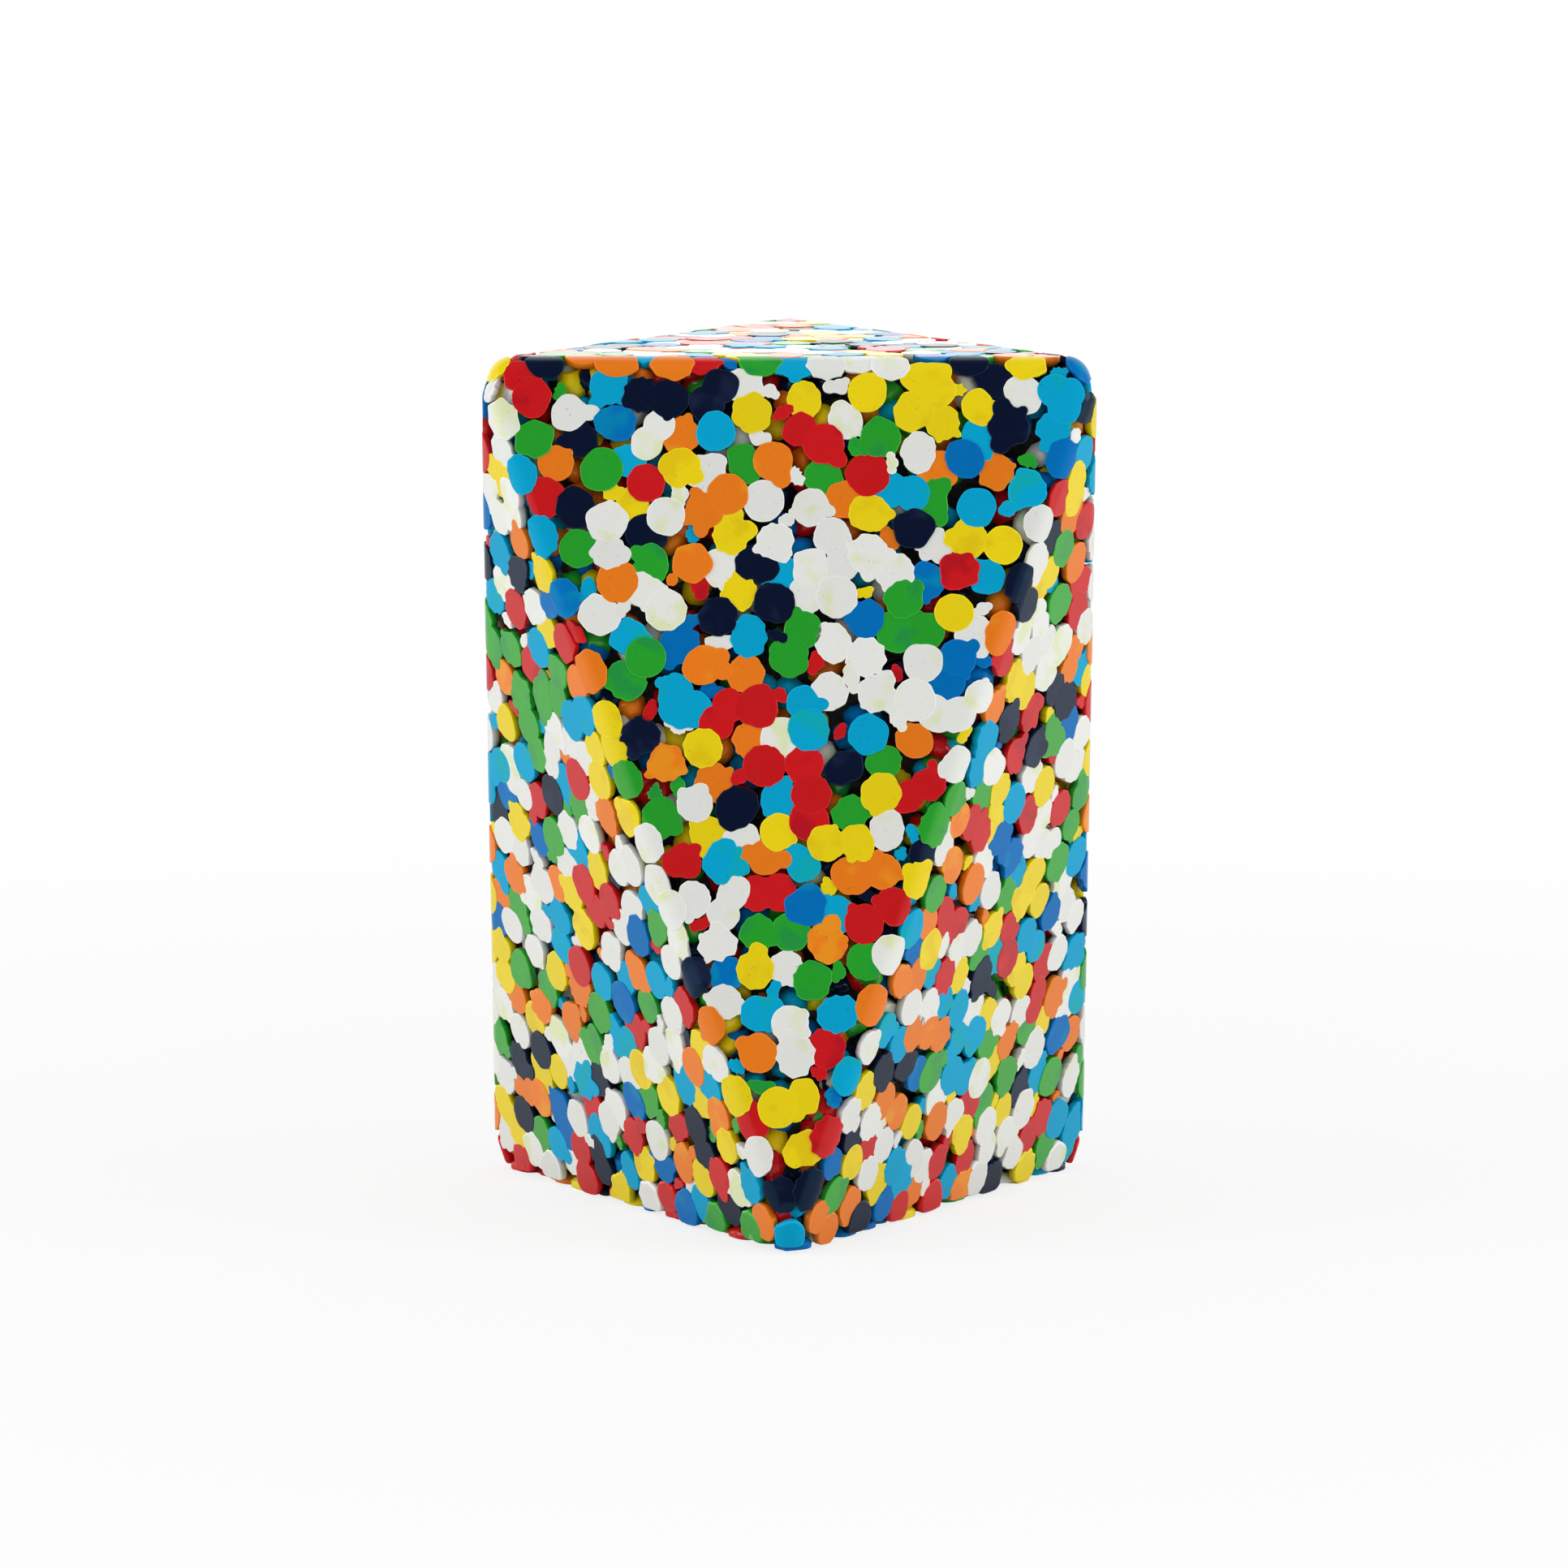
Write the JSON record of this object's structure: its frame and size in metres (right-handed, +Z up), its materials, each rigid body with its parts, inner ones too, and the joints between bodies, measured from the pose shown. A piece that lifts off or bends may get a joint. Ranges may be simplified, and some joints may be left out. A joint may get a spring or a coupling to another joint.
{
  "type": "stool",
  "caption": "Low three-cornered stool or side table, a triangular antiprism moulded from fused plastic pellets of many colours.",
  "frame": {"origin": "on the floor, under the middle of the stool", "axes": "+Z up to the seat, -Y towards one straight edge of the seat, +X to the right seen from there"},
  "size_m": [0.3154, 0.358, 0.45],
  "materials": {
    "backing": "rough fused plastic pellets of mixed colours, seen only in the pockets",
    "white_pellets": "glossy, moulded flat",
    "navy_pellets": "glossy, moulded flat",
    "red_pellets": "glossy, moulded flat",
    "yellow_pellets": "glossy, moulded flat",
    "orange_pellets": "glossy, moulded flat",
    "green_pellets": "glossy, moulded flat",
    "sky_blue_pellets": "glossy, moulded flat",
    "mid_blue_pellets": "glossy, moulded flat"
  },
  "bodies": {
    "root": {"core_shell": "backing", "core_base": "backing", "white_seat_pellets": "white_pellets", "navy_seat_pellets": "navy_pellets", "red_seat_pellets": "red_pellets", "yellow_seat_pellets": "yellow_pellets", "orange_seat_pellets": "orange_pellets", "green_seat_pellets": "green_pellets", "sky_blue_seat_pellets": "sky_blue_pellets", "mid_blue_seat_pellets": "mid_blue_pellets", "white_wall_pellets": "white_pellets", "navy_wall_pellets": "navy_pellets", "red_wall_pellets": "red_pellets", "yellow_wall_pellets": "yellow_pellets", "orange_wall_pellets": "orange_pellets", "green_wall_pellets": "green_pellets", "sky_blue_wall_pellets": "sky_blue_pellets", "mid_blue_wall_pellets": "mid_blue_pellets", "white_edge_pellets": "white_pellets", "navy_edge_pellets": "navy_pellets", "red_edge_pellets": "red_pellets", "yellow_edge_pellets": "yellow_pellets", "orange_edge_pellets": "orange_pellets", "green_edge_pellets": "green_pellets", "sky_blue_edge_pellets": "sky_blue_pellets", "mid_blue_edge_pellets": "mid_blue_pellets"}
  },
  "joints": []
}
